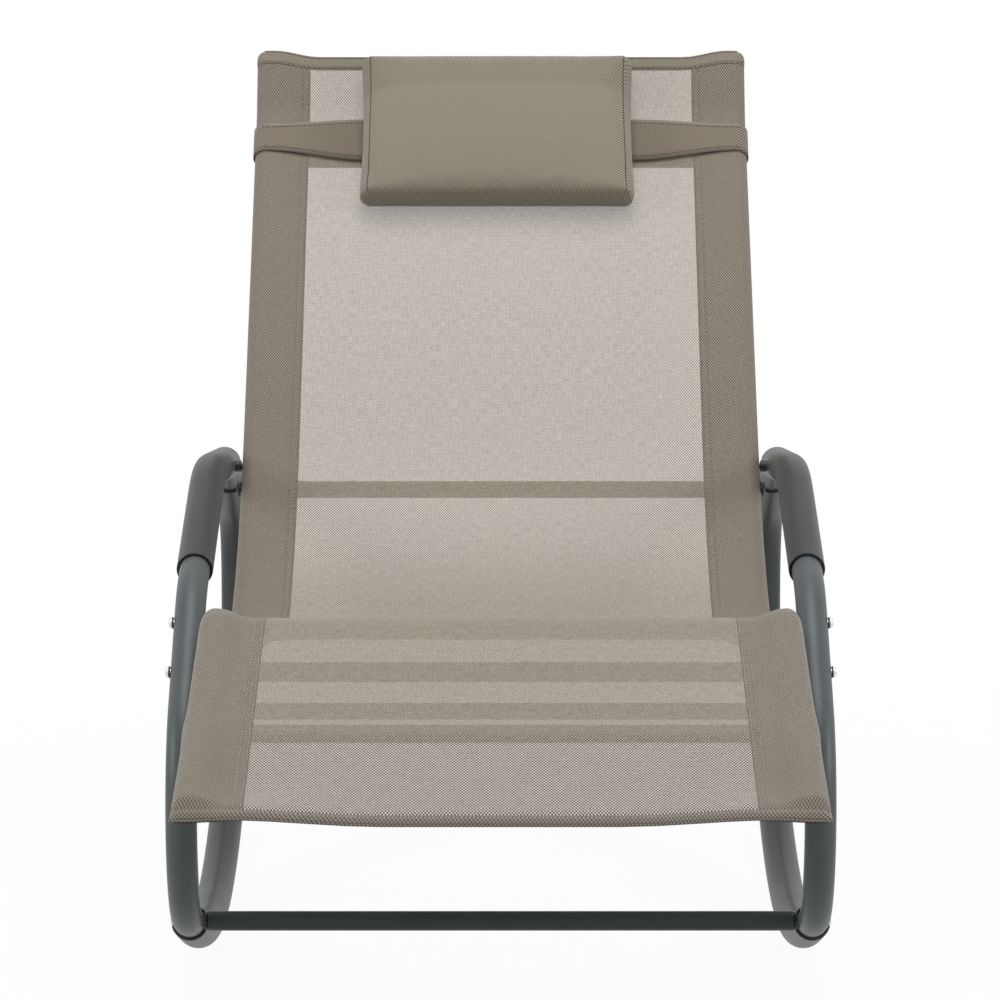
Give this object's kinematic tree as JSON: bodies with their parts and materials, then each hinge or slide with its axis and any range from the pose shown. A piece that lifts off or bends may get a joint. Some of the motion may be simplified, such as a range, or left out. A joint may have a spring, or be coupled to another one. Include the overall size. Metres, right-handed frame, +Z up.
{
  "type": "rocking chaise lounge",
  "caption": "Rocking chaise lounge: mesh sling on bent side rails, carried in closed tubular side frames that roll on curved runners, with a sliding head pillow.",
  "frame": {"origin": "on the floor, below the middle of the whole chair's bounding box", "axes": "+Z up, -Y towards the foot end, +Y towards the head end, X across the chair"},
  "size_m": [0.6448, 1.5634, 0.8888],
  "materials": {
    "frame_paint": "satin grey powder coat",
    "grip_plastic": "matte charcoal, moulded",
    "black_plastic": "matte black",
    "black_steel": "satin black",
    "bright_steel": "bright plated",
    "sling_mesh": "open woven coated mesh, taupe",
    "pillow_cloth": "close woven cloth, taupe"
  },
  "bodies": {
    "frame": {"arm_tube_left": "frame_paint", "arm_tube_right": "frame_paint", "rocker_tube_left": "frame_paint", "rocker_tube_right": "frame_paint", "side_rail_left": "frame_paint", "side_rail_right": "frame_paint", "seat_bracket_left": "frame_paint", "seat_bracket_right": "frame_paint", "base_bar_front": "frame_paint", "base_bar_rear": "frame_paint", "seat_spreader": "frame_paint", "back_spreader": "frame_paint", "leg_spreader": "frame_paint", "arm_grip_left": "grip_plastic", "arm_grip_right": "grip_plastic", "joint_sleeve_front_left": "black_plastic", "joint_sleeve_front_right": "black_plastic", "bar_saddle_front_left": "black_plastic", "bar_saddle_front_right": "black_plastic", "joint_screw_front_left": "black_steel", "joint_screw_front_right": "black_steel", "bar_bolt_front_left": "bright_steel", "bar_bolt_front_right": "bright_steel", "joint_sleeve_rear_left": "black_plastic", "joint_sleeve_rear_right": "black_plastic", "bar_saddle_rear_left": "black_plastic", "bar_saddle_rear_right": "black_plastic", "joint_screw_rear_left": "black_steel", "joint_screw_rear_right": "black_steel", "bar_bolt_rear_left": "bright_steel", "bar_bolt_rear_right": "bright_steel", "seat_bolt_lower_left": "bright_steel", "seat_bolt_lower_right": "bright_steel", "seat_washer_lower_left": "black_plastic", "seat_washer_lower_right": "black_plastic", "seat_saddle_lower_left": "black_plastic", "seat_saddle_lower_right": "black_plastic", "seat_bolt_upper_left": "bright_steel", "seat_bolt_upper_right": "bright_steel", "seat_washer_upper_left": "black_plastic", "seat_washer_upper_right": "black_plastic", "seat_saddle_upper_left": "black_plastic", "seat_saddle_upper_right": "black_plastic", "back_spacer_left": "black_plastic", "back_spacer_right": "black_plastic", "rail_cap_foot_left": "black_plastic", "rail_cap_foot_right": "black_plastic", "rail_cap_head_left": "black_plastic", "rail_cap_head_right": "black_plastic", "back_bolt_left": "black_steel", "back_bolt_right": "black_steel", "spreader_bolt_left": "black_steel", "spreader_bolt_right": "black_steel", "leg_bolt_left": "bright_steel", "leg_bolt_right": "bright_steel", "sling": "sling_mesh"},
    "pillow": {"head_pillow": "pillow_cloth", "pillow_strap": "pillow_cloth"}
  },
  "joints": [
    {"name": "pillow_slide", "type": "slide", "parent": "frame", "child": "pillow", "axis": [0, -0.6997, -0.7145], "range_m": [0, 0.3]}
  ]
}
